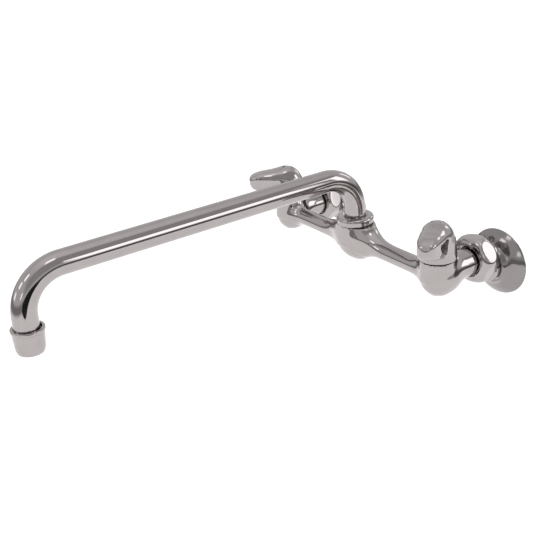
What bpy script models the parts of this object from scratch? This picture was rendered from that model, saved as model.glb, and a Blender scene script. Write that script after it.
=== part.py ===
"""Wall-mount kitchen faucet: two lever handles, a bridge body and a long swing spout.

World frame: the wall is the plane y = 0 and the room is at y < 0. X runs along the wall
and Z is up. The origin lies midway between the two wall flanges, at their centres' height.
Sizes are in metres. Most heights are given from the body's own level, ARM_Z.
"""

import math

import bmesh
import bpy
from mathutils import Matrix, Vector

# ---- driving dimensions -------------------------------------------------------------
MM = 0.001
GAP = 0.3 * MM  # clearance between pieces that touch

VALVE_HALF_SPACING = 101.6 * MM  # 8 in between valve centres
WALL_TO_BODY = 74.0 * MM
INLET_OFFSET = 12.5 * MM  # how far the eccentric inlets drop from the body's level
ARM_Y = -WALL_TO_BODY
ARM_Z = INLET_OFFSET

SPOUT_REACH = 304.8 * MM  # 12 in from swivel axis to outlet axis
OUTLET_TILT_DEG = 4.0  # how far the outlet leg stays short of straight down
SPOUT_HEIGHT = 63.3 * MM  # run's axis over the body's level, at the swivel
SPOUT_RISE_DEG = 1.1
TUBE_RADIUS = 9.525 * MM  # 3/4 in tube
TUBE_WALL = 1.1 * MM
BEND_RADIUS = 33.0 * MM
OUTLET_DROP = 9.4 * MM  # straight tube below the outlet bend

HUB_RADIUS = 16.0 * MM
HUB_TOP = 13.0 * MM
BOSS_RADIUS = 13.2 * MM
BOSS_TOP = 18.5 * MM
SOCKET_RADIUS = 11.3 * MM
SOCKET_FLOOR = 4.5 * MM
HUB_CHAMBER_RADIUS = 8.0 * MM
ARM_RADIUS = 7.5 * MM
ARM_BORE = 4.2 * MM

BULB_RADIUS = 15.7 * MM
BULB_CENTRE = -3.0 * MM
NECK_RADIUS = 10.3 * MM
NECK_TOP = 14.5 * MM
CHAMBER_RADIUS = 8.6 * MM
CHAMBER_FLOOR = -8.0 * MM
SEAT_PASSAGE = 4.5 * MM
SHANK_RADIUS = 12.2 * MM
SHANK_END = 44.0 * MM
SHANK_BORE = 9.0 * MM

NUT_FRONT = 34.5 * MM
NUT_BACK = 56.0 * MM
NUT_ACROSS_FLATS = 38.4 * MM
NUT_CORNER = 21.4 * MM  # largest radius of the nut's domed blank
HOT_NUT_DEG = 21.0  # how far each nut was turned when tightened
COLD_NUT_DEG = -6.0
FLANGE_RADIUS = 29.4 * MM
FLANGE_FRONT = 61.6 * MM
ECCENTRIC_RADIUS = 13.0 * MM

HANDLE_RADIUS = 16.0 * MM
HANDLE_BOTTOM = 15.7 * MM
HANDLE_TOP = 46.5 * MM
LEVER_LENGTH = 39.0 * MM
LEVER_HALF_WIDTH = 8.8 * MM
HOT_LEVER_DEG = 25.0  # lever's turn from straight out of the wall, away from the spout
COLD_LEVER_DEG = 31.0

AERATOR_TOP_RADIUS = 12.5 * MM
AERATOR_BOTTOM_RADIUS = 10.5 * MM
AERATOR_HEIGHT = 19.6 * MM

ROUND = 20  # sides of a large turned piece
SMALL = 12  # sides of a small or hidden turned piece

CHROME = ("chrome_plate", (0.78, 0.76, 0.75), 0.08, 1.0)
BRASS = ("raw_brass", (0.72, 0.53, 0.24), 0.3, 1.0)
STEEL = ("stainless_steel", (0.6, 0.6, 0.59), 0.25, 1.0)
RUBBER = ("black_rubber", (0.03, 0.03, 0.03), 0.8, 0.0)
PACKING = ("white_packing", (0.82, 0.81, 0.76), 0.55, 0.0)
PLASTIC = ("white_plastic", (0.85, 0.85, 0.83), 0.4, 0.0)


# ---- tools --------------------------------------------------------------------------
def clear_scene():
    for obj in list(bpy.data.objects):
        bpy.data.objects.remove(obj, do_unlink=True)


def material(finish):
    name, colour, roughness, metallic = finish
    found = bpy.data.materials.get(name)
    if found:
        return found
    made = bpy.data.materials.new(name)
    made.use_nodes = True
    shader = made.node_tree.nodes["Principled BSDF"]
    shader.inputs["Base Color"].default_value = (*colour, 1.0)
    shader.inputs["Roughness"].default_value = roughness
    shader.inputs["Metallic"].default_value = metallic
    return made


def add_object(name, shape, place=None, finish=CHROME):
    """Turns a bmesh into an object whose origin is at place."""
    bmesh.ops.remove_doubles(shape, verts=shape.verts, dist=1e-7)
    bmesh.ops.recalc_face_normals(shape, faces=shape.faces)
    mesh = bpy.data.meshes.new(name)
    shape.to_mesh(mesh)
    shape.free()
    mesh.materials.append(material(finish))
    mesh.shade_smooth()
    mesh.set_sharp_from_angle(angle=math.radians(35))
    obj = bpy.data.objects.new(name, mesh)
    bpy.context.scene.collection.objects.link(obj)
    obj.matrix_world = place or Matrix.Identity(4)
    return obj


def turned(outline, sides=ROUND, closed=False):
    """A solid of revolution about Z. outline is (radius, height) pairs from the bottom axis
    point up to the top axis point, or a closed loop of such pairs for a ring."""
    shape = bmesh.new()
    rings = []
    for radius, height in outline:
        if radius < 1e-9:
            rings.append([shape.verts.new((0, 0, height))] * sides)
            continue
        ring = []
        for step in range(sides):
            turn = 2 * math.pi * step / sides
            ring.append(shape.verts.new((radius * math.cos(turn), radius * math.sin(turn), height)))
        rings.append(ring)
    pairs = list(zip(rings, rings[1:]))
    if closed:
        pairs.append((rings[-1], rings[0]))
    for low, high in pairs:
        for step in range(sides):
            after = (step + 1) % sides
            corners = [low[step], low[after], high[after], high[step]]
            corners = list(dict.fromkeys(corners))
            if len(corners) > 2:
                shape.faces.new(corners)
    return shape


def rod(radius, low, high, sides=SMALL):
    return turned([(0, low), (radius, low), (radius, high), (0, high)], sides)


def ring(inner, outer, low, high, sides=SMALL, chamfer=0.0):
    """A washer with an optional chamfer on its two outer edges."""
    loop = [(inner, low), (outer - chamfer, low)]
    if chamfer:
        loop += [(outer, low + chamfer), (outer, high - chamfer)]
    loop += [(outer - chamfer, high), (inner, high)]
    return turned(loop, sides, closed=True)


def torus(major, minor, height, sides=16, section=6):
    loop = []
    for step in range(section):
        turn = 2 * math.pi * step / section
        loop.append((major + minor * math.cos(turn), height + minor * math.sin(turn)))
    return turned(loop, sides, closed=True)


def arc(centre, radius, start_deg, end_deg, steps):
    """Points of a circular arc in a (radius, height) outline."""
    points = []
    for step in range(steps + 1):
        turn = math.radians(start_deg + (end_deg - start_deg) * step / steps)
        points.append((centre[0] + radius * math.cos(turn), centre[1] + radius * math.sin(turn)))
    return points


def at(x, y=ARM_Y, height=0.0):
    """A frame at a plan position, its height counted from the body's level."""
    return Matrix.Translation((x, y, ARM_Z + height))


ALONG_Y = Matrix.Rotation(math.radians(-90), 4, "X")  # turns +Z into +Y
ALONG_X = Matrix.Rotation(math.radians(90), 4, "Y")  # turns +Z into +X


OFF_PHASE = Matrix.Rotation(math.radians(4.1), 4, "Z")  # keeps facets of crossing solids apart


def helper(obj):
    obj.hide_render = True
    obj.display_type = "WIRE"
    return obj


def boolean(target, other, operation):
    modifier = target.modifiers.new(f"{operation}_{other.name}", "BOOLEAN")
    modifier.operation = operation
    modifier.solver = "EXACT"
    modifier.object = helper(other)


def cut(target, shape, place):
    boolean(target, add_object(f"{target.name}_cutter", shape, place), "DIFFERENCE")


def join(target, shape, place):
    boolean(target, add_object(f"{target.name}_lobe", shape, place), "UNION")


# ---- bridge body --------------------------------------------------------------------
def hub_shape():
    outline = [(0, -17.0 * MM)] + arc((4.0 * MM, -5.0 * MM), 12.0 * MM, -75, 0, 4)
    outline += [(HUB_RADIUS, 4.0 * MM), (HUB_RADIUS - 0.5 * MM, HUB_TOP), (BOSS_RADIUS, HUB_TOP)]
    outline += [(BOSS_RADIUS, BOSS_TOP), (0, BOSS_TOP)]
    return turned(outline)


def arm_radius(distance):
    """Arm radius at a distance from the hub's axis: trumpets into the hub and the bulb."""
    hub_flare = 6.0 * MM * math.exp(-(((distance - 12.0 * MM) / (14.0 * MM)) ** 2))
    bulb_flare = 6.5 * MM * math.exp(-(((VALVE_HALF_SPACING - 6.0 * MM - distance) / (13.0 * MM)) ** 2))
    return ARM_RADIUS + hub_flare + bulb_flare


def arms_shape():
    stations = 8
    first = 12.0 * MM
    span = VALVE_HALF_SPACING - 6.0 * MM - first
    distances = [first + span * step / stations for step in range(stations + 1)]
    outline = [(0, -distances[-1])]
    outline += [(arm_radius(d), -d) for d in reversed(distances)]
    outline += [(arm_radius(d), d) for d in distances]
    outline.append((0, distances[-1]))
    return turned(outline, 16)


def bulb_shape():
    outline = [(0, BULB_CENTRE - BULB_RADIUS)]
    outline += arc((0, BULB_CENTRE), BULB_RADIUS, -70, 36, 6)
    outline += [(10.9 * MM, 9.0 * MM), (NECK_RADIUS, 11.0 * MM), (NECK_RADIUS, NECK_TOP), (0, NECK_TOP)]
    return turned(outline)


def shank_shape():
    outline = [(0, 1.3 * MM), (13.6 * MM, 1.3 * MM), (13.4 * MM, 10.0 * MM), (12.6 * MM, 18.0 * MM)]
    outline += [(SHANK_RADIUS, 26.0 * MM), (SHANK_RADIUS, SHANK_END - 1.0 * MM)]
    outline += [(SHANK_RADIUS - 1.0 * MM, SHANK_END), (0, SHANK_END)]
    return turned(outline)


def make_body():
    body = add_object("faucet_body", hub_shape(), at(0))
    join(body, arms_shape(), at(0) @ ALONG_X @ OFF_PHASE)
    for side in (-1, 1):
        valve = at(side * VALVE_HALF_SPACING)
        join(body, bulb_shape(), valve)
        join(body, shank_shape(), valve @ ALONG_Y @ OFF_PHASE)
    reach = VALVE_HALF_SPACING - 3.1 * MM
    cut(body, rod(ARM_BORE, -reach, reach, 16), at(0) @ ALONG_X @ OFF_PHASE)
    cut(body, stepped_bore(HUB_CHAMBER_RADIUS, -9.0 * MM, SOCKET_FLOOR, SOCKET_RADIUS, BOSS_TOP), at(0))
    for side in (-1, 1):
        valve = at(side * VALVE_HALF_SPACING)
        slope = Matrix.Rotation(math.radians(20.0), 4, "X")
        supply = valve @ Matrix.Translation((0, 0, -10.6 * MM)) @ slope @ ALONG_Y @ OFF_PHASE
        cut(body, rod(4.0 * MM, 0.7 * MM, 34.0 * MM, 14), supply)
        cut(body, rod(SHANK_BORE, 30.0 * MM, SHANK_END + 5 * MM), valve @ ALONG_Y)
        chamber = stepped_bore(SEAT_PASSAGE, -13.5 * MM, CHAMBER_FLOOR, CHAMBER_RADIUS, NECK_TOP)
        cut(body, chamber, valve @ OFF_PHASE)


def stepped_bore(small, floor, step, large, mouth):
    """Cutter for a bore of two diameters, open at the mouth."""
    above = mouth + 5 * MM
    return turned([(0, floor), (small, floor), (small, step), (large, step), (large, above), (0, above)])


# ---- spout --------------------------------------------------------------------------
def spout_path(start):
    """Centreline in the (reach, height) plane, from the swivel up, along and down."""
    rise = math.radians(SPOUT_RISE_DEG)
    slope = math.tan(rise)
    first_centre = (BEND_RADIUS, SPOUT_HEIGHT + BEND_RADIUS * slope - BEND_RADIUS / math.cos(rise))
    path = [(0.0, start), (0.0, first_centre[1] - 4 * MM)]
    path += arc(first_centre, BEND_RADIUS, 180, 90 + SPOUT_RISE_DEG, 7)
    last_reach = SPOUT_REACH - BEND_RADIUS
    last_centre = (last_reach, SPOUT_HEIGHT + last_reach * slope - BEND_RADIUS / math.cos(rise))
    path += arc(last_centre, BEND_RADIUS, 90 + SPOUT_RISE_DEG, OUTLET_TILT_DEG, 7)
    tilt = math.radians(OUTLET_TILT_DEG)
    reach, height = path[-1]
    path.append((reach + OUTLET_DROP * math.sin(tilt), height - OUTLET_DROP * math.cos(tilt)))
    return path


def outlet_place():
    """A frame at the tube's open end, with +Z back up the outlet leg."""
    reach, height = spout_path(0)[-1]
    return at(0, ARM_Y - reach, height) @ Matrix.Rotation(math.radians(-OUTLET_TILT_DEG), 4, "X")


def swept_pipe(path, outer, inner, sides=16):
    """A pipe whose centreline lies in the plane of -Y (reach) and Z (height)."""
    shape = bmesh.new()
    skins = {outer: [], inner: []}
    points = [Vector(point) for point in path]
    before = [points[0]] + points[:-1]
    after = points[1:] + [points[-1]]
    for point, low, high in zip(points, before, after):
        along = (high - low).normalized()
        centre = Vector((0, -point.x, point.y))
        across = Vector((0, along.y, along.x))
        for radius, rings in skins.items():
            loop = []
            for step in range(sides):
                turn = 2 * math.pi * step / sides
                offset = Vector((math.cos(turn), 0, 0)) + across * math.sin(turn)
                loop.append(shape.verts.new(centre + offset * radius))
            rings.append(loop)

    def bridge(low, high):
        for step in range(sides):
            after = (step + 1) % sides
            shape.faces.new([low[step], low[after], high[after], high[step]])

    for rings in skins.values():
        for low, high in zip(rings, rings[1:]):
            bridge(low, high)
    bridge(skins[outer][0], skins[inner][0])
    bridge(skins[outer][-1], skins[inner][-1])
    return shape


FERRULE_TOP = 20.9 * MM  # top of the ferrule's shoulder
TUBE_START = FERRULE_TOP + GAP


def make_spout():
    tube_bore = TUBE_RADIUS - TUBE_WALL
    path = spout_path(TUBE_START)
    add_object("spout_tube", swept_pipe(path, TUBE_RADIUS, tube_bore), at(0))

    spigot = SOCKET_RADIUS - GAP
    groove = 9.2 * MM
    loop = [(7.0 * MM, SOCKET_FLOOR + GAP), (spigot, SOCKET_FLOOR + GAP)]
    for low in (7.6 * MM, 13.0 * MM):
        loop += [(spigot, low), (groove, low), (groove, low + 2.2 * MM), (spigot, low + 2.2 * MM)]
    shoulder = BOSS_RADIUS - 0.6 * MM
    loop += [(spigot, BOSS_TOP + GAP), (shoulder, BOSS_TOP + GAP), (shoulder, FERRULE_TOP)]
    sleeve = tube_bore - GAP
    loop += [(sleeve, FERRULE_TOP), (sleeve, FERRULE_TOP + 8 * MM), (7.0 * MM, FERRULE_TOP + 8 * MM)]
    add_object("spout_ferrule", turned(loop, SMALL, closed=True), at(0), BRASS)
    for name, low in (("spout_lower_o_ring", 7.6 * MM), ("spout_upper_o_ring", 13.0 * MM)):
        add_object(name, torus(10.25 * MM, 0.75 * MM, low + 1.1 * MM), at(0), RUBBER)

    washer_top = FERRULE_TOP + GAP + 0.9 * MM
    bore = TUBE_RADIUS + 0.4 * MM
    swivel_washer = ring(bore, shoulder, FERRULE_TOP + GAP, washer_top)
    add_object("spout_swivel_washer", swivel_washer, at(0), PACKING)

    thread = BOSS_RADIUS + 0.4 * MM
    lip = washer_top + GAP
    nut = [(thread, HUB_TOP + GAP), (15.4 * MM, HUB_TOP + GAP), (16.2 * MM, 14.6 * MM)]
    nut += [(16.2 * MM, 17.6 * MM), (16.6 * MM, 18.4 * MM), (16.6 * MM, 20.8 * MM)]
    nut += arc((14.4 * MM, 21.4 * MM), 2.2 * MM, 0, 90, 3)
    nut += [(bore + 0.6 * MM, 24.6 * MM), (bore, 24.6 * MM), (bore, lip), (thread, lip)]
    add_object("spout_nut", turned(nut, ROUND, closed=True), at(0))


def make_aerator():
    place = outlet_place()
    tube_bore = TUBE_RADIUS - TUBE_WALL
    low = -AERATOR_HEIGHT

    # A bushing brazed into the tube carries the aerator's thread.
    thread = 9.9 * MM
    bore = 6.4 * MM
    foot = -7.0 * MM
    sleeve = tube_bore - GAP
    bushing = [(bore, foot), (thread, foot), (thread, -GAP), (sleeve, -GAP), (sleeve, -foot), (bore, -foot)]
    add_object("outlet_bushing", turned(bushing, SMALL, closed=True), place, BRASS)

    lip = 8.6 * MM
    ledge = low + 3.0 * MM
    wall = 10.3 * MM
    housing = [(wall, 0), (wall, ledge), (lip, ledge), (lip, low)]
    housing += [(AERATOR_BOTTOM_RADIUS - 1.2 * MM, low), (AERATOR_BOTTOM_RADIUS, low + 1.4 * MM)]
    housing += [(AERATOR_TOP_RADIUS - 0.5 * MM, -2.6 * MM), (AERATOR_TOP_RADIUS, -2.0 * MM)]
    housing += [(AERATOR_TOP_RADIUS, -0.6 * MM), (AERATOR_TOP_RADIUS - 0.6 * MM, 0)]
    add_object("aerator_housing", turned(housing, ROUND, closed=True), place)

    screen_low = ledge + GAP
    screen_high = screen_low + 0.8 * MM
    add_object("aerator_screen", ring(1.0 * MM, thread, screen_low, screen_high), place, STEEL)
    insert_high = foot - 2.0 * MM - 2 * GAP
    insert = ring(2.0 * MM, thread, screen_high + GAP, insert_high)
    add_object("aerator_insert", insert, place, PLASTIC)
    washer = ring(bore, thread, insert_high + GAP, foot - GAP)
    add_object("aerator_washer", washer, place, RUBBER)


# ---- one valve ----------------------------------------------------------------------
SEAT_TOP = CHAMBER_FLOOR + GAP + 2.5 * MM
WASHER_LOW = SEAT_TOP + GAP
WASHER_HIGH = WASHER_LOW + 2.5 * MM
PLUNGER_LOW = WASHER_HIGH + GAP
PLUNGER_HIGH = 8.0 * MM
BONNET_LOW = 5.2 * MM
BONNET_CEILING = 13.0 * MM
SPINDLE_TOP = 38.0 * MM
SPINDLE_RADIUS = 3.2 * MM
STROKE_ROOM = 2.2 * MM  # between the spindle's end and the plunger, which rises to open
HEX = 6


def make_valve_core(side_name, valve):
    def add(name, shape, finish):
        add_object(f"{side_name}_{name}", shape, valve, finish)

    add("valve_seat", ring(3.3 * MM, 6.2 * MM, CHAMBER_FLOOR + GAP, SEAT_TOP), BRASS)
    add("seat_washer", ring(1.9 * MM, 5.2 * MM, WASHER_LOW, WASHER_HIGH), RUBBER)
    screw_low = WASHER_LOW - GAP - 1.1 * MM
    screw = [(0, screw_low), (2.4 * MM, screw_low), (2.6 * MM, WASHER_LOW - GAP)]
    screw += [(1.3 * MM, WASHER_LOW - GAP), (1.3 * MM, PLUNGER_LOW + 2.6 * MM)]
    screw += [(0, PLUNGER_LOW + 2.6 * MM)]
    add("washer_screw", turned(screw, 12), STEEL)

    across = 5.9 * MM  # corner radius of the hexagonal plunger
    stem_bore = 2.9 * MM
    floor = PLUNGER_LOW + 3.2 * MM
    plunger = [(1.6 * MM, PLUNGER_LOW), (across, PLUNGER_LOW), (across, PLUNGER_HIGH)]
    plunger += [(stem_bore, PLUNGER_HIGH), (stem_bore, floor), (1.6 * MM, floor)]
    add("plunger", turned(plunger, HEX, closed=True), BRASS)

    guide = across + 0.6 * MM
    bonnet = add_object(f"{side_name}_bonnet", bonnet_shape(), valve, BRASS)
    cut(bonnet, rod(guide, BONNET_LOW - 1 * MM, BONNET_CEILING, HEX), valve)
    cut(bonnet, rod(5.0 * MM, 16.3 * MM, 23.0 * MM), valve)
    cut(bonnet, rod(3.6 * MM, BONNET_CEILING - 1 * MM, 17.0 * MM), valve)
    gasket = ring(8.7 * MM, 10.1 * MM, NECK_TOP + GAP, NECK_TOP + GAP + 0.8 * MM)
    add("bonnet_gasket", gasket, RUBBER)

    add("packing", ring(3.6 * MM, 4.7 * MM, 16.6 * MM, 20.4 * MM), PACKING)
    cap = [(6.8 * MM, 18.4 * MM), (9.4 * MM, 18.4 * MM), (9.4 * MM, 22.6 * MM), (8.6 * MM, 23.2 * MM)]
    cap += [(3.6 * MM, 23.2 * MM), (3.6 * MM, 21.3 * MM), (6.8 * MM, 21.3 * MM)]
    add("packing_nut", turned(cap, 12, closed=True), BRASS)

    collar = BONNET_CEILING - GAP
    foot = floor + STROKE_ROOM
    spindle = [(0, foot), (2.5 * MM, foot), (2.5 * MM, 10.9 * MM)]
    spindle += [(4.6 * MM, 10.9 * MM), (4.6 * MM, collar), (SPINDLE_RADIUS, collar)]
    spindle += [(SPINDLE_RADIUS, SPINDLE_TOP), (1.7 * MM, SPINDLE_TOP)]
    spindle += [(1.7 * MM, SPINDLE_TOP - 8 * MM), (0, SPINDLE_TOP - 8 * MM)]
    add("spindle", turned(spindle, SMALL), BRASS)


def bonnet_shape():
    outer = CHAMBER_RADIUS - GAP
    flange = NECK_TOP + 2 * GAP + 0.8 * MM
    outline = [(0, BONNET_LOW), (outer, BONNET_LOW), (outer, flange), (NECK_RADIUS, flange)]
    outline += [(NECK_RADIUS, flange + 2.0 * MM), (6.5 * MM, flange + 2.0 * MM)]
    outline += [(6.5 * MM, 21.0 * MM), (0, 21.0 * MM)]
    return turned(outline, SMALL)


# ---- handles ------------------------------------------------------------------------
def hub_dome():
    """The handle's round hub: a short skirt under an egg-shaped dome."""
    dome_base = 27.0 * MM
    height = HANDLE_TOP - dome_base
    outline = [(0, HANDLE_BOTTOM), (HANDLE_RADIUS - 1.0 * MM, HANDLE_BOTTOM)]
    outline += [(HANDLE_RADIUS - 0.4 * MM, HANDLE_BOTTOM + 0.8 * MM)]
    steps = 7
    for step in range(steps):
        turn = math.radians(90.0 * step / steps)
        outline.append((HANDLE_RADIUS * math.cos(turn), dome_base + height * math.sin(turn)))
    outline.append((0, HANDLE_TOP))
    return turned(outline)


def lever_shape():
    """The lever, pointing along -Y: rounded sections whose height and width vary along it."""
    shape = bmesh.new()
    sides = 16
    tip_radius = 9.0 * MM
    straight = LEVER_LENGTH - tip_radius
    stations = [0.0, 6.0 * MM, 12.0 * MM, 18.0 * MM, 24.0 * MM, straight]
    rings = []
    for distance in stations + [straight + tip_radius * math.sin(math.radians(a)) for a in (30, 55, 75)]:
        share = max(0.0, (distance - straight) / tip_radius)
        shrink = math.sqrt(max(0.0, 1 - share**2))
        top = 44.6 * MM - 3.0 * MM * (distance / straight) ** 2
        bottom = 17.0 * MM + 7.5 * MM * min(1.0, distance / straight)
        middle = (top + bottom) / 2
        if share:
            middle -= 0.8 * MM * share
        loop = []
        for step in range(sides):
            turn = 2 * math.pi * step / sides
            wide = math.copysign(abs(math.cos(turn)) ** 0.7, math.cos(turn))
            tall = math.copysign(abs(math.sin(turn)) ** 0.7, math.sin(turn))
            x = LEVER_HALF_WIDTH * shrink * wide
            z = middle + (top - bottom) / 2 * shrink * tall
            loop.append(shape.verts.new((x, -distance, z)))
        rings.append(loop)
    for low, high in zip(rings, rings[1:]):
        for step in range(sides):
            after = (step + 1) % sides
            shape.faces.new([low[step], low[after], high[after], high[step]])
    shape.faces.new(rings[0])
    shape.faces.new(rings[-1])
    return shape


def make_handle(side_name, valve, turn_deg):
    turned_valve = valve @ Matrix.Rotation(math.radians(turn_deg), 4, "Z")
    handle = add_object(f"{side_name}_handle", hub_dome(), turned_valve)
    join(handle, lever_shape(), turned_valve)
    cut(handle, rod(12.8 * MM, HANDLE_BOTTOM - 5 * MM, 24.5 * MM), turned_valve)
    cut(handle, rod(SPINDLE_RADIUS + GAP, 23.0 * MM, SPINDLE_TOP + GAP), turned_valve)
    cut(handle, rod(2.3 * MM, SPINDLE_TOP - 1 * MM, 42.0 * MM), turned_valve)
    cut(handle, rod(5.0 * MM, 40.5 * MM, HANDLE_TOP + 5 * MM), turned_valve)

    screw = [(0, 31.0 * MM), (1.35 * MM, 31.0 * MM), (1.35 * MM, 40.8 * MM), (3.6 * MM, 40.8 * MM)]
    screw += [(3.6 * MM, 42.0 * MM), (2.8 * MM, 42.7 * MM), (0, 42.7 * MM)]
    add_object(f"{side_name}_handle_screw", turned(screw, 16), turned_valve, STEEL)
    button = [(0, 43.1 * MM), (4.6 * MM, 43.1 * MM), (4.6 * MM, 45.4 * MM)]
    button += [(3.9 * MM, 46.3 * MM), (2.2 * MM, 46.9 * MM), (0, 47.1 * MM)]
    add_object(f"{side_name}_index_button", turned(button, SMALL), turned_valve)


# ---- inlets -------------------------------------------------------------------------
def coupling_nut_shape():
    """The hexagon nut's blank: a barrel that the flats will cut."""
    middle = (NUT_FRONT + NUT_BACK) / 2
    half_length = 17.0 * MM
    blank = [(0, NUT_FRONT)]
    steps = 7
    for step in range(steps + 1):
        height = NUT_FRONT + (NUT_BACK - NUT_FRONT) * step / steps
        blank.append((NUT_CORNER * math.sqrt(1 - ((height - middle) / half_length) ** 2), height))
    blank.append((0, NUT_BACK))
    return turned(blank)


def hexagon_outside(low, high, turn_deg):
    """A thick ring with a hexagonal hole: it mills the flats."""
    corner = NUT_ACROSS_FLATS / 2 / math.cos(math.pi / HEX)
    shape = bmesh.new()
    loops = []
    for radius, height in ((corner, low), (corner, high), (2 * corner, high), (2 * corner, low)):
        loop = []
        for step in range(HEX):
            turn = 2 * math.pi * step / HEX + math.radians(turn_deg)
            loop.append(shape.verts.new((radius * math.cos(turn), radius * math.sin(turn), height)))
        loops.append(loop)
    for low_loop, high_loop in zip(loops, loops[1:] + loops[:1]):
        for step in range(HEX):
            after = (step + 1) % HEX
            shape.faces.new([low_loop[step], low_loop[after], high_loop[after], high_loop[step]])
    return shape


def make_inlet(side_name, x, nut_deg):
    shank_axis = at(x) @ ALONG_Y
    wall_axis = at(x, ARM_Y, -INLET_OFFSET) @ ALONG_Y

    nut = add_object(f"{side_name}_coupling_nut", coupling_nut_shape(), shank_axis)
    cut(nut, hexagon_outside(NUT_FRONT - 5 * MM, NUT_BACK + 5 * MM, nut_deg), shank_axis)
    cut(nut, rod(SHANK_RADIUS + 0.4 * MM, NUT_FRONT - 5 * MM, 50.5 * MM, ROUND), shank_axis)
    mouth = [(0, NUT_FRONT - 1 * MM), (15.0 * MM, NUT_FRONT - 1 * MM), (12.0 * MM, NUT_FRONT + 2 * MM)]
    cut(nut, turned(mouth + [(0, NUT_FRONT + 2 * MM)]), shank_axis)
    cut(nut, rod(10.4 * MM, 50.0 * MM, NUT_BACK + 5 * MM, ROUND), shank_axis)

    washer = ring(8.5 * MM, 11.6 * MM, SHANK_END + GAP, 46.3 * MM)
    add_object(f"{side_name}_union_washer", washer, shank_axis, RUBBER)

    collar = [(0, 46.6 * MM), (12.0 * MM, 46.6 * MM), (12.0 * MM, 50.2 * MM), (10.0 * MM, 50.2 * MM)]
    inlet = add_object(f"{side_name}_eccentric_inlet",
                       turned(collar + [(10.0 * MM, 61.0 * MM), (0, 61.0 * MM)]), shank_axis)
    socket_end = WALL_TO_BODY - 0.6 * MM
    body = [(0, 57.3 * MM), (ECCENTRIC_RADIUS - 1.4 * MM, 57.3 * MM), (ECCENTRIC_RADIUS, 58.7 * MM)]
    join(inlet, turned(body + [(ECCENTRIC_RADIUS, socket_end), (0, socket_end)]), wall_axis)
    cut(inlet, rod(7.0 * MM, 45.0 * MM, 58.6 * MM), shank_axis)
    cut(inlet, rod(10.3 * MM, 62.5 * MM, 80.0 * MM, ROUND), wall_axis)
    passage = at(x, ARM_Y + 54.0 * MM) @ Matrix.Rotation(math.radians(-131), 4, "X")
    cut(inlet, rod(3.5 * MM, 0, 16.0 * MM, 14), passage)

    bell = [(ECCENTRIC_RADIUS + 0.4 * MM, FLANGE_FRONT), (15.0 * MM, FLANGE_FRONT)]
    bell += [(15.8 * MM, FLANGE_FRONT + 0.8 * MM)]
    bell += [(17.0 * MM, 64.4 * MM), (19.6 * MM, 66.2 * MM), (23.2 * MM, 68.2 * MM), (26.8 * MM, 70.6 * MM)]
    bell += [(FLANGE_RADIUS - 0.3 * MM, 72.6 * MM), (FLANGE_RADIUS, 73.2 * MM)]
    bell += [(FLANGE_RADIUS, WALL_TO_BODY), (FLANGE_RADIUS - 3.4 * MM, WALL_TO_BODY)]
    bell += [(22.4 * MM, 70.4 * MM), (18.6 * MM, 68.4 * MM), (15.6 * MM, 66.6 * MM)]
    bell += [(ECCENTRIC_RADIUS + 0.4 * MM, 65.4 * MM)]
    add_object(f"{side_name}_wall_flange", turned(bell, 24, closed=True), wall_axis)


def main():
    clear_scene()
    make_body()
    make_spout()
    make_aerator()
    sides = (("hot", -1, HOT_LEVER_DEG, HOT_NUT_DEG), ("cold", 1, COLD_LEVER_DEG, COLD_NUT_DEG))
    for side_name, sign, lever_deg, nut_deg in sides:
        x = sign * VALVE_HALF_SPACING
        make_valve_core(side_name, at(x))
        make_handle(side_name, at(x), sign * lever_deg)
        make_inlet(side_name, x, nut_deg)


main()
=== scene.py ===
"""Looks for the wall-mounted lever faucet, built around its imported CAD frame.

Shapes are worked out in millimetres in local frames and placed from the frame's own boxes.
Freeform castings come from distance fields: a field is negative inside the metal.
"""

import math

import bmesh
import bpy
import numpy as np
from mathutils import Matrix, Vector


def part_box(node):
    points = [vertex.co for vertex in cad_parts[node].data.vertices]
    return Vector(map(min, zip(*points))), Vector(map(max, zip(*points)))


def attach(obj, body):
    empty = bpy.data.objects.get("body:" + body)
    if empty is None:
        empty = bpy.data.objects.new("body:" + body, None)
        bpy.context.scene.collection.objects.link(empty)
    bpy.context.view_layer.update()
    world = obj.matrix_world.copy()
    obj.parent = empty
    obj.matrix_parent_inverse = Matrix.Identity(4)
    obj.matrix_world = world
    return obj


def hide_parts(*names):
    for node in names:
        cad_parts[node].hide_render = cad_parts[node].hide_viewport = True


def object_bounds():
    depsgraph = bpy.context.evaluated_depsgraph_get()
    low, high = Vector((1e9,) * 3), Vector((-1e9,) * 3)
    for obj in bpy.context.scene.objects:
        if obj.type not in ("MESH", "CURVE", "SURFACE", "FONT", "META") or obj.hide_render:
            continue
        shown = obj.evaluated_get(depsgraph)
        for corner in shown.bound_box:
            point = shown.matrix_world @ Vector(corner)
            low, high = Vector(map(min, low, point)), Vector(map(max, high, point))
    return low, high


MM = 0.001
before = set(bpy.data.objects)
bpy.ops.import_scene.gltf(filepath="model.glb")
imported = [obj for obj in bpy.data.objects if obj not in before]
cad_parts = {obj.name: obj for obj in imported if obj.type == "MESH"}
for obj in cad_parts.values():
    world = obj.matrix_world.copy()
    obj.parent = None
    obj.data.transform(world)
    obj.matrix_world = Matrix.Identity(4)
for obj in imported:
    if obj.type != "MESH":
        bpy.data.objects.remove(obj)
cad_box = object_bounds()


# ---- places, from the frame ----------------------------------------------------------
def centre(node):
    low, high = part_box(node)
    return (Vector(low) + Vector(high)) / 2


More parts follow.
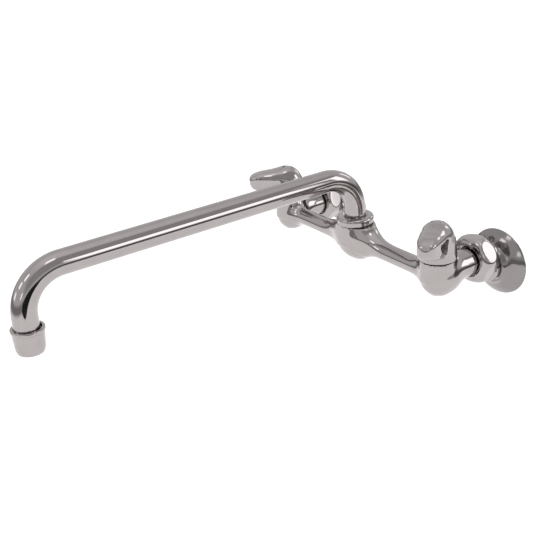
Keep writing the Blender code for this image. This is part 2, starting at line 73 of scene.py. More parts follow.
LEVEL = centre("cold_union_washer").z  # height of the body's arms
HUB = Vector((centre("spout_ferrule").x, centre("spout_ferrule").y, LEVEL))
SIDES = ("hot", "cold")
SPINDLE = {side: centre(f"{side}_spindle") for side in SIDES}
VALVE = {side: Vector((SPINDLE[side].x, SPINDLE[side].y, LEVEL)) for side in SIDES}
FLANGE = {side: centre(f"{side}_wall_flange") for side in SIDES}
WALL = (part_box("cold_wall_flange")[1][1] - HUB.y) / MM  # wall plane, from the body's axis
HALF_SPACING = (VALVE["cold"].x - HUB.x) / MM  # from the hub to each valve
OFFSET = (LEVEL - FLANGE["cold"].z) / MM  # the inlets' wall ends sit this much lower

# Sizes in millimetres. A top, floor or base is a height over the arms' axis.
ARM_RADIUS = 7.7
WATERWAY_RADIUS = 4.2
HUB_RADIUS = 15.4
HUB_DROP = 3.0  # the hub's ball is centred this far below the arms
COLLAR_TOP = 17.2
COLLAR_RADIUS = 13.2
SOCKET_RADIUS = 11.4
SOCKET_FLOOR = 3.9
BULB_RADIUS = 15.3
BULB_DROP = 3.3
BULB_TOP = 14.5
SHANK_RADIUS = 12.2
SHANK_END = 44.0
VALVE_CHAMBER_RADIUS = 8.6
VALVE_CHAMBER_FLOOR = -8.0
HANDLE_BASE = 24.5  # the dome of a handle's hub starts at this height
HANDLE_RADIUS = 15.3
LEVER_LENGTH = 39.0
NUT_FLATS = 19.2  # from a union nut's axis to each of its flats
NUT_RADIUS = 21.4
NUT_MIDDLE = 42.8  # along the shank's axis
NUT_FRONT = 34.5
NUT_BACK = 56.0
TUBE_RADIUS = 9.525
TUBE_WALL = 1.1
SPOUT_REACH = 304.8
OUTLET_TILT = 4.0  # degrees; the outlet leg stops this short of vertical
AERATOR_HEIGHT = 19.6

LEVER_TURN = {"hot": -25.0, "cold": 30.5}  # degrees about the valve, from square to the wall
NUT_TURN = {"hot": 13.0, "cold": -6.0}  # degrees about the shank
ALONG_Y = Matrix.Rotation(math.radians(-90), 4, "X")


# ---- meshes --------------------------------------------------------------------------
def build(name, points, faces, place, material, body, node=None, sharp=38.0):
    """Makes an object from points in millimetres, keeps its axes level, and sets it on a body."""
    mesh = bpy.data.meshes.new(name)
    turn = np.array(place.to_3x3())
    placed = np.asarray(points) @ turn.T * MM
    mesh.from_pydata([tuple(p) for p in placed], [], [tuple(f) for f in faces])
    mesh.materials.append(material)
    mesh.shade_smooth()
    mesh.set_sharp_from_angle(angle=math.radians(sharp))
    mesh.update()
    obj = bpy.data.objects.new(name, mesh)
    bpy.context.scene.collection.objects.link(obj)
    obj.matrix_world = Matrix.Translation(place.translation)
    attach(obj, body)
    if node:
        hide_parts(node)
    return obj


def rounded(corners, steps=6):
    """An outline of (radius, height, fillet) corners with its fillets drawn."""
    outline = []
    for index, (r, z, fillet) in enumerate(corners):
        here = np.array([r, z], float)
        before = np.array(corners[index - 1][:2], float)
        after = np.array(corners[(index + 1) % len(corners)][:2], float)
        if fillet <= 0:
            outline.append(tuple(here))
            continue
        to_before = (before - here) / np.linalg.norm(before - here)
        to_after = (after - here) / np.linalg.norm(after - here)
        half = math.acos(max(-1.0, min(1.0, float(to_before @ to_after)))) / 2
        reach = fillet / math.tan(half)
        start = here + to_before * reach
        bisector = (to_before + to_after) / np.linalg.norm(to_before + to_after)
        middle = here + bisector * fillet / math.sin(half)
        first = start - middle
        last = here + to_after * reach - middle
        sweep = math.acos(max(-1.0, min(1.0, float(first @ last) / fillet**2)))
        for step in range(steps + 1):
            share = step / steps
            from_first = math.sin((1 - share) * sweep) / math.sin(sweep)
            from_last = math.sin(share * sweep) / math.sin(sweep)
            outline.append(tuple(middle + from_first * first + from_last * last))
    return outline


def lathe(outline, sides=96, closed=True):
    """Points and faces of an outline turned about Z. A closed outline makes a ring."""
    points = []
    rings = []
    for radius, height in outline:
        if radius < 1e-6:
            points.append((0.0, 0.0, height))
            rings.append([len(points) - 1] * sides)
            continue
        ring = []
        for step in range(sides):
            turn = 2 * math.pi * step / sides
            points.append((radius * math.cos(turn), radius * math.sin(turn), height))
            ring.append(len(points) - 1)
        rings.append(ring)
    pairs = list(zip(rings, rings[1:]))
    if closed:
        pairs.append((rings[-1], rings[0]))
    faces = []
    for low, high in pairs:
        for step in range(sides):
            after = (step + 1) % sides
            corners = list(dict.fromkeys([low[step], low[after], high[after], high[step]]))
            if len(corners) > 2:
                faces.append(corners)
    return points, faces


def turned(name, outline, place, material, body, node=None, sides=96, closed=True):
    points, faces = lathe(outline, sides, closed)
    obj = build(name, points, faces, place, material, body, node)
    outward(obj)
    return obj


def outward(obj):
    """Turns the faces of a closed mesh outwards."""
    shape = bmesh.new()
    shape.from_mesh(obj.data)
    bmesh.ops.recalc_face_normals(shape, faces=shape.faces)
    shape.to_mesh(obj.data)
    shape.free()


# ---- distance fields ------------------------------------------------------------------
def union(a, b, blend=0.0):
    """The union of two fields, filleted where they differ by less than blend."""
    if np.ndim(blend) == 0 and blend <= 0:
        return np.minimum(a, b)
    share = np.maximum(blend - np.abs(a - b), 0) / blend
    return np.minimum(a, b) - share**3 * blend / 6


def common(a, b, blend=0.0):
    """What two fields share, with its edge rounded in the same way."""
    return -union(-a, -b, blend)


def ramp(value, low, high):
    """A smooth step from 0 at low to 1 at high."""
    share = np.clip((value - low) / (high - low), 0, 1)
    return share * share * (3 - 2 * share)


def rod(across, along, radius, low, high):
    """A plain cylinder: across is the distance from its axis, along the position on it."""
    return np.maximum(across - radius, np.maximum(low - along, along - high))


def ellipsoid(across, along, radius, reach):
    """About the distance to an ellipsoid of revolution."""
    near = np.sqrt((across / radius) ** 2 + (along / reach) ** 2)
    slope = np.sqrt((across / radius**2) ** 2 + (along / reach**2) ** 2)
    return near * (near - 1) / np.maximum(slope, 1e-6)


def mesh_of(field, low, high, step):
    """Surface nets: one point in each grid cell that the surface crosses, settled onto it."""
    low = np.array(low, float)
    counts = np.ceil((np.array(high, float) - low) / step).astype(int) + 1
    grid = np.meshgrid(*(low[i] + step * np.arange(counts[i]) for i in range(3)), indexing="ij")
    value = field(*grid)
    cells = counts - 1
    size = int(cells.prod())
    total = np.zeros((size, 3))
    hits = np.zeros(size)
    loops = []
    for axis in range(3):
        start = [slice(None)] * 3
        end = [slice(None)] * 3
        start[axis] = slice(0, -1)
        end[axis] = slice(1, None)
        near = value[tuple(start)]
        far = value[tuple(end)]
        crossed = (near < 0) != (far < 0)
        node = np.argwhere(crossed)
        near = near[crossed]
        far = far[crossed]
        spot = node.astype(float)
        spot[:, axis] += near / (near - far)
        u, v = ((1, 2), (2, 0), (0, 1))[axis]
        around = []
        for step_u, step_v in ((0, 0), (-1, 0), (-1, -1), (0, -1)):
            cell = node.copy()
            cell[:, u] += step_u
            cell[:, v] += step_v
            flat = np.ravel_multi_index(tuple(cell.T), tuple(cells))
            around.append(flat)
            hits += np.bincount(flat, minlength=size)
            for i in range(3):
                total[:, i] += np.bincount(flat, spot[:, i], minlength=size)
        loop = np.stack(around, 1)
        loop[near > 0] = loop[near > 0][:, ::-1]
        loops.append(loop)
    loops = np.concatenate(loops)
    used, index = np.unique(loops, return_inverse=True)
    quads = index.reshape(loops.shape)
    points = low + step * total[used] / hits[used][:, None]
    return settled(points, quads, field, step), quads


def settled(points, quads, field, step, rounds=4):
    """Evens out the points along the surface and moves them exactly onto it."""
    start = np.concatenate([quads.ravel(), np.roll(quads, -1, axis=1).ravel()])
    end = np.concatenate([np.roll(quads, -1, axis=1).ravel(), quads.ravel()])
    count = np.bincount(start, minlength=len(points))[:, None]
    for _ in range(rounds):
        sums = [np.bincount(start, points[end, i], minlength=len(points)) for i in range(3)]
        points = points + 0.5 * (np.stack(sums, 1) / count - points)
        points = projected(points, field, step)
    return points


def projected(points, field, step, rounds=3, probe=0.02):
    """Moves points down the field's slope, to where the field is 0."""
    for _ in range(rounds):
        value = field(*points.T)
        slope = []
        for i in range(3):
            shift = np.zeros(3)
            shift[i] = probe
            slope.append((field(*(points + shift).T) - field(*(points - shift).T)) / (2 * probe))
        slope = np.stack(slope, 1)
        move = slope * (value / np.maximum((slope**2).sum(1), 1e-3))[:, None]
        length = np.linalg.norm(move, axis=1)[:, None]
        points = points - move * np.minimum(1, 0.5 * step / np.maximum(length, 1e-9))
    return points


# ---- bridge body ----------------------------------------------------------------------
def body_field(x, y, z):
    """The bridge: hub, arms, bulbs and shanks, less the socket, chambers and waterways."""
    side = np.abs(x)
    rear = y - np.clip(y, 1.6, 4.6)  # stretches the balls towards the wall
    metal = np.maximum(hub_field(x, y, z, rear), side - HALF_SPACING)
    out = np.hypot(x, y)
    metal = union(metal, rod(out, z, COLLAR_RADIUS, 5.0, 18.5))
    from_valve = side - HALF_SPACING
    across = np.hypot(from_valve, y)
    blend = 4.0 + 12.0 * from_valve**2 / np.maximum(across**2, 1.0)
    metal = union(metal, bulb_field(from_valve, y, z, rear, across), blend)

    metal = np.maximum(metal, -rod(out, z, SOCKET_RADIUS, SOCKET_FLOOR, 30.0))
    metal = np.maximum(metal, -rod(out, z, 8.0, -9.0, 30.0))  # hub's chamber
    metal = np.maximum(metal, -rod(np.hypot(y, z), side, WATERWAY_RADIUS, 0.0, HALF_SPACING - 3.1))
    metal = np.maximum(metal, -rod(across, z, VALVE_CHAMBER_RADIUS, VALVE_CHAMBER_FLOOR, 30.0))
    metal = np.maximum(metal, -rod(across, z, 4.5, -13.5, 30.0))  # well under the valve seat
    slope = math.radians(20.0)  # of the waterway from the shank down to the well
    low = z + 10.6
    lengthwise = y * math.cos(slope) + low * math.sin(slope)
    sideways = low * math.cos(slope) - y * math.sin(slope)
    metal = np.maximum(metal, -rod(np.hypot(from_valve, sideways), lengthwise, 4.0, 0.7, 34.0))
    return np.maximum(metal, -rod(np.hypot(from_valve, z), y, 9.0, 30.0, 60.0))


def hub_field(x, y, z, rear):
    """The hub's ball and barrel with the arms, whose fillets are widest along the arms."""
    arm = np.hypot(y, z) - ARM_RADIUS
    out = np.hypot(x, y)
    outward_share = x**2 / np.maximum(out**2, 1.0)
    hub = np.sqrt(x**2 + rear**2 + (z + HUB_DROP) ** 2) - HUB_RADIUS
    hub = union(hub, np.maximum(out - 15.5, -HUB_DROP - z), 3.0)
    fillet = 7.0 + (20.0 + 19.0 * ramp(z, -3.0, 10.0)) * np.sqrt(outward_share)
    return common(union(hub, arm, fillet), z - COLLAR_TOP, 1.0)


def bulb_field(from_valve, y, z, rear, across):
    """A valve's bulb and neck with its shank, whose fillet is widest underneath."""
    back_share = y**2 / np.maximum(across**2, 1.0)
    bulb = np.sqrt(from_valve**2 + rear**2 + (z + BULB_DROP) ** 2) - BULB_RADIUS
    bulb = union(bulb, np.maximum(across - 14.7 + 0.02 * z, -BULB_DROP - z), 4.0)
    shank_radius = SHANK_RADIUS + 1.3 * ramp(-y, -24.0, -8.0)
    shank = np.maximum(np.hypot(from_valve, z) - shank_radius, -y)
    bulb = union(bulb, shank, 3.0 + (4.0 + 7.0 * ramp(-z, -2.0, 10.0)) * back_share)
    bulb = common(bulb, z - BULB_TOP, 1.2)
    return common(bulb, y - SHANK_END, 1.2)


# ---- handles --------------------------------------------------------------------------
def handle_field(x, y, z):
    """A round hub and a flat-sided lever, which points along -Y."""
    across = np.hypot(x, y)
    dome = ellipsoid(across, np.maximum(z - HANDLE_BASE, 0), HANDLE_RADIUS, 22.5)
    skirt = across - HANDLE_RADIUS - 0.08 * (HANDLE_BASE - z)
    hub = common(np.where(z > HANDLE_BASE, dome, skirt), 15.7 - z, 1.6)

    along = -y
    share = np.clip(along / 32.0, 0, 1)
    metal = union(hub, lever_field(x, along, z, share), 3.5 + 6.0 * share)

    metal = np.maximum(metal, -rod(across, z, 12.8, 0.0, HANDLE_BASE))  # room for the bonnet
    metal = np.maximum(metal, -rod(across, z, 3.5, 20.0, 38.3))  # spindle
    metal = np.maximum(metal, -rod(across, z, 2.3, 30.0, 42.0))  # screw
    return np.maximum(metal, -rod(across, z, 5.0, 40.5, 60.0))  # index cap


def lever_field(x, along, z, share):
    """Rounded box sections that narrow from root (share 0) to tip, with crisper edges there."""
    half_width = 12.8 - 4.2 * share**1.3
    top = 47.6 - 1.0 * ramp(share, 0.0, 0.5) - 2.1 * share
    bottom = 18.0 + 9.2 * share
    half_height = (top - bottom) / 2
    from_middle = (z - top + half_height) / half_height
    top_share = ramp(from_middle, 0.4 * share - 0.1, 0.6 + 0.3 * share)
    crown = 3.8 + 1.7 * share - (1.5 + 0.5 * share) * top_share
    section = (np.abs(x) / half_width) ** crown + np.abs(from_middle) ** crown
    section = section ** (1 / crown)
    tip_start, heel_start = 24.5, 7.0
    tip = np.maximum(along - tip_start, 0) / (LEVER_LENGTH - tip_start)
    heel = np.maximum(heel_start - along, 0) / 13.0
    power = 2.6
    return ((section**power + tip**power + heel**power) ** (1 / power) - 1) * 8.5


# ---- inlets ---------------------------------------------------------------------------
def nut_field(x, y, z):
    """A domed hexagon nut about Z, seen before its turn about that axis."""
    across = np.hypot(x, y)
    along = z - NUT_MIDDLE
    dome = ellipsoid(across, along, NUT_RADIUS, np.where(along < 0, 13.0, 17.0))
    dome = common(common(dome, NUT_FRONT - z, 6.0), z - NUT_BACK, 1.5)
    facing = [math.radians(turn) for turn in (30.0, 90.0, 150.0)]
    flats = [np.abs(x * math.cos(turn) + y * math.sin(turn)) - NUT_FLATS for turn in facing]
    metal = common(dome, np.maximum.reduce(flats), 0.7)
    metal = common(metal, -rod(across, z, 13.7, 30.0, 37.6), 0.5)
    metal = np.maximum(metal, -rod(across, z, 12.6, 30.0, 50.5))
    return np.maximum(metal, -rod(across, z, 11.6, 50.0, 60.0))


def inlet_field(x, y, z):
    """Eccentric inlet about Z, the shank's axis; its wall end sits towards +Y, which is down."""
    across = np.hypot(x, y)
    low = np.hypot(x, y - OFFSET)
    collar = rod(across, z, 12.0, 46.6, 50.2)
    neck = rod(across, z, 11.0, 46.6, 61.0)
    foot = np.maximum(low - 13.0, np.maximum(57.3 - z, z - (WALL - 0.6)))
    metal = union(collar, union(neck, foot, 5.0))
    metal = np.maximum(metal, -rod(across, z, 7.0, 40.0, 58.6))  # mouth
    metal = np.maximum(metal, -rod(low, z, 10.3, 62.5, 90.0))  # supply socket
    start, end = 56.0, 64.0  # of the slanting waterway between them
    middle = OFFSET * (np.clip(z, start, end) - start) / (end - start)
    return np.maximum(metal, -rod(np.hypot(x, y - middle), z, 3.5, start, end))


def flange_outline():
    """The bell: a hollow shell from the inlet's barrel out to its rim on the wall."""
    outside = [(13.4, 61.6), (14.6, 61.6), (15.3, 61.9), (15.8, 62.6), (16.2, 63.6), (17.0, 64.9)]
    outside += [(18.3, 66.1), (20.2, 67.2), (22.4, 68.3), (24.6, 69.6), (26.5, 71.0), (28.0, 72.2)]
    outside += [(28.9, 72.9), (29.3, 73.4), (29.4, WALL)]
    inside = [(26.0, WALL), (25.6, 72.6), (22.4, 70.4), (18.6, 68.4), (15.6, 66.6), (13.4, 65.4)]
    return outside + inside


# ---- spout ----------------------------------------------------------------------------
def spout_path():
    """The tube's centreline in the plane of reach and height: up, along and down."""
    rise = math.radians(1.1)
    tilt = math.radians(OUTLET_TILT)
    bend = 33.0  # radius of both bends
    height = 63.3  # of the run's centreline over the hub
    bend_steps, run_steps = 28, 20
    first_height = height + bend * math.tan(rise) - bend / math.cos(rise)
    last_reach = SPOUT_REACH - bend
    last_height = height + last_reach * math.tan(rise) - bend / math.cos(rise)
    path = [(0.0, 21.2), (0.0, 24.0), (0.0, first_height - 3.0)]
    path += arc(bend, first_height, bend, math.pi, math.pi / 2 + rise, bend_steps)
    last_bend = arc(last_reach, last_height, bend, math.pi / 2 + rise, tilt, bend_steps)
    start, end = path[-1], last_bend[0]
    for step in range(1, run_steps):
        share = step / run_steps
        reach = start[0] + (end[0] - start[0]) * share
        path.append((reach, start[1] + (end[1] - start[1]) * share))
    path += last_bend
    foot = path[-1]
    for length in (3.0, 6.5, 9.4):
        path.append((foot[0] + length * math.sin(tilt), foot[1] - length * math.cos(tilt)))
    return path


def arc(reach, height, radius, start, end, steps):
    """Points on an arc about (reach, height), both ends included."""
    turns = [start + (end - start) * step / steps for step in range(steps + 1)]
    return [(reach + radius * math.cos(turn), height + radius * math.sin(turn)) for turn in turns]


def tube_mesh(path, skins, sides=72):
    """Rings along a path in the plane of -Y and Z, for an outer and an inner skin."""
    points = []
    loops = []
    spots = [Vector(spot) for spot in path]
    before = [spots[0]] + spots[:-1]
    after = spots[1:] + [spots[-1]]
    for radius in skins:
        rings = []
        for spot, low, high in zip(spots, before, after):
            along = (high - low).normalized()
            across = Vector((0, along.y, along.x))
            ring = []
            for step in range(sides):
                turn = 2 * math.pi * step / sides
                offset = Vector((math.cos(turn), 0, 0)) + across * math.sin(turn)
                points.append(Vector((0, -spot.x, spot.y)) + offset * radius)
                ring.append(len(points) - 1)
            rings.append(ring)
        loops.append(rings)
    outer, inner = loops
    pairs = list(zip(outer, outer[1:])) + list(zip(inner, inner[1:]))
    pairs += [(outer[0], inner[0]), (outer[-1], inner[-1])]
    faces = []
    for low, high in pairs:
        for step in range(sides):
            after_step = (step + 1) % sides
            faces.append([low[step], low[after_step], high[after_step], high[step]])
    return points, faces


# ---- materials -------------------------------------------------------------------------
def shader_of(name, colour, roughness, metallic):
    made = bpy.data.materials.new(name)
    made.use_nodes = True
    tree = made.node_tree
    shader = tree.nodes["Principled BSDF"]
    shader.inputs["Base Color"].default_value = (*colour, 1)
    shader.inputs["Roughness"].default_value = roughness
    shader.inputs["Metallic"].default_value = metallic
    return made, tree, shader


def noise(tree, scale, detail=3.0, roughness=0.5, stretch=None):
    position = tree.nodes.new("ShaderNodeTexCoord")
    found = tree.nodes.new("ShaderNodeTexNoise")
    found.inputs["Scale"].default_value = scale
    found.inputs["Detail"].default_value = detail
    found.inputs["Roughness"].default_value = roughness
    source = position.outputs["Object"]
    if stretch:
        mapping = tree.nodes.new("ShaderNodeMapping")
        mapping.inputs["Scale"].default_value = stretch
        tree.links.new(source, mapping.inputs["Vector"])
        source = mapping.outputs["Vector"]
    tree.links.new(source, found.inputs["Vector"])
    return found.outputs["Fac"]


def spread(tree, source, low, high, start=0.0, end=1.0):
    """Maps a 0 to 1 value onto a range."""
    found = tree.nodes.new("ShaderNodeMapRange")
    found.inputs["From Min"].default_value = start
    found.inputs["From Max"].default_value = end
    found.inputs["To Min"].default_value = low
    found.inputs["To Max"].default_value = high
    tree.links.new(source, found.inputs["Value"])
    return found.outputs["Result"]


def tint(tree, source, dark, light, start=0.3, end=0.7):
    found = tree.nodes.new("ShaderNodeValToRGB")
    found.color_ramp.elements[0].position = start
    found.color_ramp.elements[0].color = (*dark, 1)
    found.color_ramp.elements[1].position = end
    found.color_ramp.elements[1].color = (*light, 1)
    tree.links.new(source, found.inputs["Fac"])
    return found.outputs["Color"]


def bump(tree, shader, source, distance, strength=1.0, below=None):
    found = tree.nodes.new("ShaderNodeBump")
    found.inputs["Distance"].default_value = distance
    found.inputs["Strength"].default_value = strength
    tree.links.new(source, found.inputs["Height"])
    if below:
        tree.links.new(below, found.inputs["Normal"])
    tree.links.new(found.outputs["Normal"], shader.inputs["Normal"])
    return found.outputs["Normal"]


def varied(tree, shader, source, dark, light, smooth, rough, start=0.3, end=0.7):
    """Varies a material's colour and roughness together, by a noise."""
    tree.links.new(tint(tree, source, dark, light), shader.inputs["Base Color"])
    tree.links.new(spread(tree, source, smooth, rough, start, end), shader.inputs["Roughness"])


def chrome(name, wave=0.0, wave_scale=70.0, hairline=None, shade=1.0, haze_low=0.035):
    """Polished chrome plate: faint handling haze, and the slow waves of a buffed casting; a shade
    below 1 darkens the colour as painted shade.
    """
    made, tree, shader = shader_of(name, (0.4, 0.37, 0.368), haze_low, 1.0)
    haze = noise(tree, 90.0, 5.0, 0.6)
    # shade scales the colour: below 1 it is painted shade, a darker copy of the chrome standing in
    # for dim reflections
    dark = [shade * channel for channel in (0.385, 0.355, 0.353)]
    light = [shade * channel for channel in (0.415, 0.383, 0.381)]
    varied(tree, shader, haze, dark, light, haze_low, haze_low + 0.05, 0.35)
    below = None
    if wave:
        below = bump(tree, shader, noise(tree, wave_scale, 1.0, 0.3), wave)
    if hairline:
        bump(tree, shader, noise(tree, 400.0, 3.0, 0.6, hairline), 0.0000025, 1.0, below)
    return made


def brass():
    made, tree, shader = shader_of("machined_brass", (0.72, 0.53, 0.24), 0.3, 1.0)
    stain = noise(tree, 160.0, 4.0, 0.6)
    varied(tree, shader, stain, (0.6, 0.42, 0.18), (0.78, 0.58, 0.28), 0.22, 0.4)
    bump(tree, shader, noise(tree, 60.0, 2.0, 0.5, (1, 1, 60)), 0.00003)
    return made


def steel():
    made, tree, shader = shader_of("stainless_steel", (0.6, 0.6, 0.59), 0.25, 1.0)
    grain = noise(tree, 220.0, 4.0, 0.6)
    varied(tree, shader, grain, (0.52, 0.52, 0.51), (0.64, 0.64, 0.63), 0.2, 0.34)
    bump(tree, shader, grain, 0.00001)
    return made


def soft(name, dark, light, roughness):
    """Rubber, packing and moulded plastic: slight mottling and a fine moulded grain."""
    made, tree, shader = shader_of(name, light, roughness, 0.0)
    grain = noise(tree, 900.0, 5.0, 0.6)
    varied(tree, shader, grain, dark, light, roughness - 0.08, roughness + 0.08)
    bump(tree, shader, grain, 0.00002)
    return made


def floor_paint():
    """White paper that also glows a little, so that it stays white beside the world."""
    made, tree, shader = shader_of("studio_floor", (0.9, 0.9, 0.9), 0.9, 0.0)
    shader.inputs["Emission Color"].default_value = (1, 1, 1, 1)
    shader.inputs["Emission Strength"].default_value = 0.42
    mottle = tint(tree, noise(tree, 3.0, 2.0), (0.88, 0.88, 0.88), (0.92, 0.92, 0.92))
    tree.links.new(mottle, shader.inputs["Base Color"])
    return made


CAST = chrome("polished_cast_chrome", 0.00004, 60.0)
LEVER = chrome("polished_lever_chrome", 0.0007, 110.0)
TUBE = chrome("polished_tube_chrome", hairline=(1, 0.04, 1))
TURNED = chrome("polished_turned_chrome", hairline=(1, 1, 8))
# The bell flange's chrome is darkened to 0.68 as painted shade, standing in for the darker
# reflections under and around the bell.
FLANGE_SHADED_CHROME = chrome("flange_chrome_painted_shade", 0.00012, 60.0, shade=0.68, haze_low=0.08)
BRASS = brass()
STEEL = steel()
RUBBER = soft("black_rubber", (0.012, 0.012, 0.012), (0.03, 0.03, 0.03), 0.75)
PACKING = soft("white_packing", (0.7, 0.69, 0.64), (0.85, 0.84, 0.8), 0.55)
PLASTIC = soft("white_plastic", (0.8, 0.8, 0.78), (0.88, 0.88, 0.86), 0.35)
FLOOR_PAINT = floor_paint()
FLAG_CLOTH = soft("flag_cloth", (0.01, 0.01, 0.01), (0.02, 0.02, 0.02), 0.9)

CARRIED = {
    "spout_ferrule": BRASS,
    "outlet_bushing": BRASS,
    "spout_lower_o_ring": RUBBER,
    "spout_upper_o_ring": RUBBER,
    "aerator_washer": RUBBER,
    "spout_swivel_washer": PACKING,
    "aerator_insert": PLASTIC,
    "aerator_screen": STEEL,
}
for side in SIDES:
    for piece in ("valve_seat", "plunger", "bonnet", "packing_nut", "spindle"):
        CARRIED[f"{side}_{piece}"] = BRASS
    for piece in ("seat_washer", "bonnet_gasket", "union_washer"):
        CARRIED[f"{side}_{piece}"] = RUBBER
    for piece in ("washer_screw", "handle_screw"):
        CARRIED[f"{side}_{piece}"] = STEEL
    CARRIED[f"{side}_packing"] = PACKING
for node, material in CARRIED.items():
    for material_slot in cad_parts[node].material_slots:
        material_slot.material = material


# ---- pieces ----------------------------------------------------------------------------
at_hub = Matrix.Translation(HUB)
span = HALF_SPACING + 17.0
body_mesh = mesh_of(body_field, (-span, -18.0, -20.5), (span, 46.0, 20.5), 0.9)
body = build("bridge_body", *body_mesh, at_hub, CAST, "body", "faucet_body")

spout_mesh = tube_mesh(spout_path(), (TUBE_RADIUS, TUBE_RADIUS - TUBE_WALL))
tube = build("swing_spout_tube", *spout_mesh, at_hub, TUBE, "spout", "spout_tube")
outward(tube)

nut_outline = rounded([
    (13.6, 17.5, 0.3),
    (16.1, 17.5, 0.6),
    (16.6, 18.6, 0.6),
    (16.6, 24.4, 2.8),
    (11.6, 24.6, 0.5),
    (10.6, 23.6, 0.4),
    (9.925, 23.3, 0),
    (9.925, 22.5, 0),
    (13.6, 22.5, 0),
])
spout_nut = turned("spout_retaining_nut", nut_outline, at_hub, TURNED, "body", "spout_nut", 128)

tilted = Matrix.Rotation(math.radians(-OUTLET_TILT), 4, "X")
outlet = Matrix.Translation(centre("aerator_housing")) @ tilted
rim = AERATOR_HEIGHT / 2
housing = rounded([
    (10.3, rim, 0.2),
    (10.3, -rim + 3.0, 0),
    (8.6, -rim + 3.0, 0),
    (8.6, -rim, 0.3),
    (10.0, -rim, 1.2),
    (11.0, -rim + 3.4, 4.0),
    (12.0, rim - 3.0, 0.5),
    (12.5, rim - 2.4, 0.4),
    (12.5, rim, 0.7),
])
aerator = turned("aerator_shell", housing, outlet, TURNED, "spout", "aerator_housing", 128)

cap_outline = rounded([
    (0, 43.1, 0),
    (4.6, 43.1, 0.2),
    (4.6, 45.9, 0.5),
    (3.6, 46.6, 1.5),
    (0, 47.1, 0),
])
handle_mesh = mesh_of(handle_field, (-17.5, -41.0, 14.0), (17.5, 17.5, 48.5), 0.6)
nut_mesh = mesh_of(nut_field, (-22.5, -22.5, 33.0), (22.5, 22.5, 57.5), 0.55)
inlet_mesh = mesh_of(inlet_field, (-14.5, -14.0, 45.5), (14.5, 27.0, WALL + 1.0), 0.7)
for side in SIDES:
    at_valve = Matrix.Translation(VALVE[side])
    lever_place = at_valve @ Matrix.Rotation(math.radians(LEVER_TURN[side]), 4, "Z")
    rider = f"{side}_handle"
    handle = build(f"{side}_lever_handle", *handle_mesh, lever_place, LEVER, rider, rider)

    button = f"{side}_index_button"
    cap = turned(f"{side}_index_cap", cap_outline, lever_place, TURNED, rider, button, 64, False)

    shank_axis = at_valve @ ALONG_Y
    nut_place = shank_axis @ Matrix.Rotation(math.radians(NUT_TURN[side]), 4, "Z")
    node = f"{side}_coupling_nut"
    nut = build(f"{side}_union_nut", *nut_mesh, nut_place, CAST, "body", node)

    node = f"{side}_eccentric_inlet"
    inlet = build(f"{side}_offset_inlet", *inlet_mesh, shank_axis, CAST, "body", node)

    node = f"{side}_wall_flange"
    wall_axis = Matrix.Translation((VALVE[side].x, HUB.y, FLANGE[side].z)) @ ALONG_Y
    bell = turned(f"{side}_bell_flange", flange_outline(), wall_axis, FLANGE_SHADED_CHROME, "body", node, 144)


# ---- stage -----------------------------------------------------------------------------
def disc(name, radius, rings, sides, material):
    """A flat round sheet about the origin, facing +Z."""
    points = [(0.0, 0.0, 0.0)]
    for ring in range(1, rings + 1):
        reach = radius * ring / rings
        for step in range(sides):
            turn = 2 * math.pi * step / sides
            points.append((reach * math.cos(turn), reach * math.sin(turn), 0.0))
    faces = []
    for step in range(sides):
        after = (step + 1) % sides
        faces.append([0, 1 + step, 1 + after])
        for ring in range(1, rings):
            near = 1 + (ring - 1) * sides
            far = 1 + ring * sides
            faces.append([near + step, far + step, far + after, near + after])
    mesh = bpy.data.meshes.new(name)
    mesh.from_pydata(points, [], faces)
    mesh.materials.append(material)
    sheet = bpy.data.objects.new(name, mesh)
    bpy.context.scene.collection.objects.link(sheet)
    return sheet


# The stage is in metres.
FLOOR_RADIUS = 1.25
FLOOR_DROP = 0.24  # below the object, which hangs on a wall
FLAG_RADIUS = 0.07
FLAG_FROM_OUTLET = Vector((0.146, -0.034, 0.004))
CAMERA_FROM_HUB = Vector((0.51516, -0.42207, 0.2944))
FILM_WIDTH = 36.0  # millimetres, as is the lens
LENS = 53.41

floor = disc("studio_floor", FLOOR_RADIUS, 10, 96, FLOOR_PAINT)
floor.location = (0, -0.2, cad_box[0][2] - FLOOR_DROP)

# A dark card beside the outlet, out of the camera's sight, gives the last bend its dark streak.
flag = disc("dark_flag", FLAG_RADIUS, 3, 32, FLAG_CLOTH)
flag.location = centre("aerator_housing") + FLAG_FROM_OUTLET
flag.rotation_euler = Vector((1, -0.2, 0)).to_track_quat("Z", "Y").to_euler()
flag.scale = (1.0, 0.62, 1.0)
flag.visible_camera = False
flag.visible_shadow = False

# How far the camera is turned round the object, lifted and rolled.
AZIMUTH, ELEVATION, ROLL = (math.radians(angle) for angle in (57.93, 25.37, -5.54))
ahead_x = -math.sin(AZIMUTH) * math.cos(ELEVATION)
ahead_y = math.cos(AZIMUTH) * math.cos(ELEVATION)
forward = Vector((ahead_x, ahead_y, -math.sin(ELEVATION)))
level = Vector((math.cos(AZIMUTH), math.sin(AZIMUTH), 0))
upward = level.cross(forward)
right = level * math.cos(ROLL) + upward * math.sin(ROLL)
above = upward * math.cos(ROLL) - level * math.sin(ROLL)
axes = Matrix((right, above, -forward)).transposed().to_4x4()
camera_data = bpy.data.cameras.new("camera")
camera_data.sensor_width = FILM_WIDTH
camera_data.lens = LENS
camera_data.clip_end = 50.0
camera = bpy.data.objects.new("camera", camera_data)
bpy.context.scene.collection.objects.link(camera)
camera.matrix_world = Matrix.Translation(HUB + CAMERA_FROM_HUB) @ axes
bpy.context.scene.camera = camera


# ---- light -----------------------------------------------------------------------------
world = bpy.data.worlds.new("studio")
bpy.context.scene.world = world
world.use_nodes = True
nodes, links = world.node_tree.nodes, world.node_tree.links
direction = nodes.new("ShaderNodeTexCoord")
heading = direction.outputs["Generated"]


def calculate(operation, *terms):
    found = nodes.new("ShaderNodeMath")
    found.operation = operation
    for socket, term in zip(found.inputs, terms):
        if isinstance(term, (int, float)):
            socket.default_value = term
        else:
            links.new(term, socket)
    return found.outputs[0]


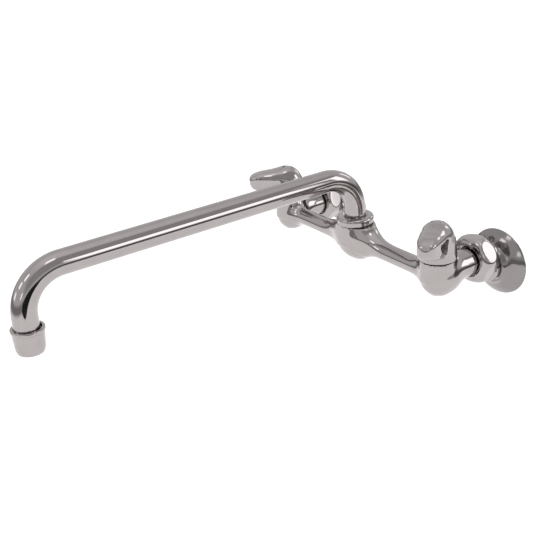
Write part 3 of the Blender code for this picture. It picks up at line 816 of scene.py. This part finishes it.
def along(direction):
    found = nodes.new("ShaderNodeVectorMath")
    found.operation = "DOT_PRODUCT"
    found.inputs[1].default_value = direction
    links.new(heading, found.inputs[0])
    return found.outputs["Value"]


def within(angle, half, edge):
    """1 where an angle is inside its half width, fading to 0 over the edge."""
    found = nodes.new("ShaderNodeMapRange")
    found.interpolation_type = "SMOOTHSTEP"
    found.inputs["From Min"].default_value = math.radians(half + edge)
    found.inputs["From Max"].default_value = math.radians(max(half - edge, 0))
    links.new(calculate("ABSOLUTE", angle), found.inputs["Value"])
    return found.outputs["Result"]


def panel(before, azimuth, elevation, half_width, half_height, edge, glow):
    """Adds a light or dark panel to the studio. Azimuth 0 is towards the wall, 90 is +X."""
    turn, lift = math.radians(azimuth), math.radians(elevation)
    sine, cosine = math.sin(turn), math.cos(turn)
    ahead = along((sine * math.cos(lift), cosine * math.cos(lift), math.sin(lift)))
    beside = along((cosine, -sine, 0))
    over = along((-sine * math.sin(lift), -cosine * math.sin(lift), math.cos(lift)))
    wide = within(calculate("ARCTAN2", beside, ahead), half_width, edge)
    tall = within(calculate("ARCTAN2", over, calculate("ABSOLUTE", ahead)), half_height, edge)
    share = calculate("MULTIPLY", wide, tall)
    change = calculate("MULTIPLY", share, calculate("SUBTRACT", glow, before))
    return calculate("ADD", before, change)


def sky(stops):
    """The room's brightness from straight down (0) to straight up (1), by (place, value)."""
    height = nodes.new("ShaderNodeSeparateXYZ")
    links.new(heading, height.inputs[0])
    gradient = nodes.new("ShaderNodeValToRGB")
    ends = gradient.color_ramp.elements
    for stop, (place, value) in zip(ends, (stops[0], stops[-1])):
        stop.position = place
        stop.color = (value, value, value, 1)
    for place, value in stops[1:-1]:
        stop = ends.new(place)
        stop.color = (value, value, value, 1)
    links.new(calculate("MULTIPLY_ADD", height.outputs["Z"], 0.5, 0.5), gradient.inputs["Fac"])
    return gradient.outputs["Color"]


# A light floor, a dark skirting at the horizon, grey walls, and white straight above.
SKY = (
    (0.0, 0.95),
    (0.37, 0.95),
    (0.4, 0.36),
    (0.47, 0.32),
    (0.53, 0.77),
    (0.75, 0.79),
    (0.86, 0.73),
    (1.0, 1.0),
)
# Azimuth, elevation, half width, half height and soft edge in degrees, then brightness.
PANELS = (
    (85, 38, 52, 26, 8, 0.48),
    (62, -8, 38, 5.5, 3, 0.12),
    (64, 14, 9.5, 9.5, 1.5, 2.6),
    (38, 19, 9.5, 14, 1.5, 2.6),
    (-173, 45, 6, 6, 1, 2.6),
    (-162, 29, 7, 5, 1, 2.6),
    (-152, 10, 7, 5, 1, 2.2),
    (96, 69, 8, 7, 2, 2.4),
    (150, 13, 4, 5, 1, 2.0),
    (-7, 20, 5, 9, 1.5, 2.4),
)
glow = sky(SKY)
for azimuth, elevation, half_width, half_height, edge, value in PANELS:
    glow = panel(glow, azimuth, elevation, half_width, half_height, edge, value)

# The camera sees plain white behind the object; everything else sees the room.
room = nodes["Background"]
links.new(glow, room.inputs["Color"])
plain = nodes.new("ShaderNodeBackground")
plain.inputs["Color"].default_value = (1, 1, 1, 1)
seen = nodes.new("ShaderNodeLightPath")
mixed = nodes.new("ShaderNodeMixShader")
links.new(seen.outputs["Is Camera Ray"], mixed.inputs["Fac"])
links.new(room.outputs["Background"], mixed.inputs[1])
links.new(plain.outputs["Background"], mixed.inputs[2])
links.new(mixed.outputs["Shader"], nodes["World Output"].inputs["Surface"])
bpy.context.scene.view_settings.view_transform = "Standard"
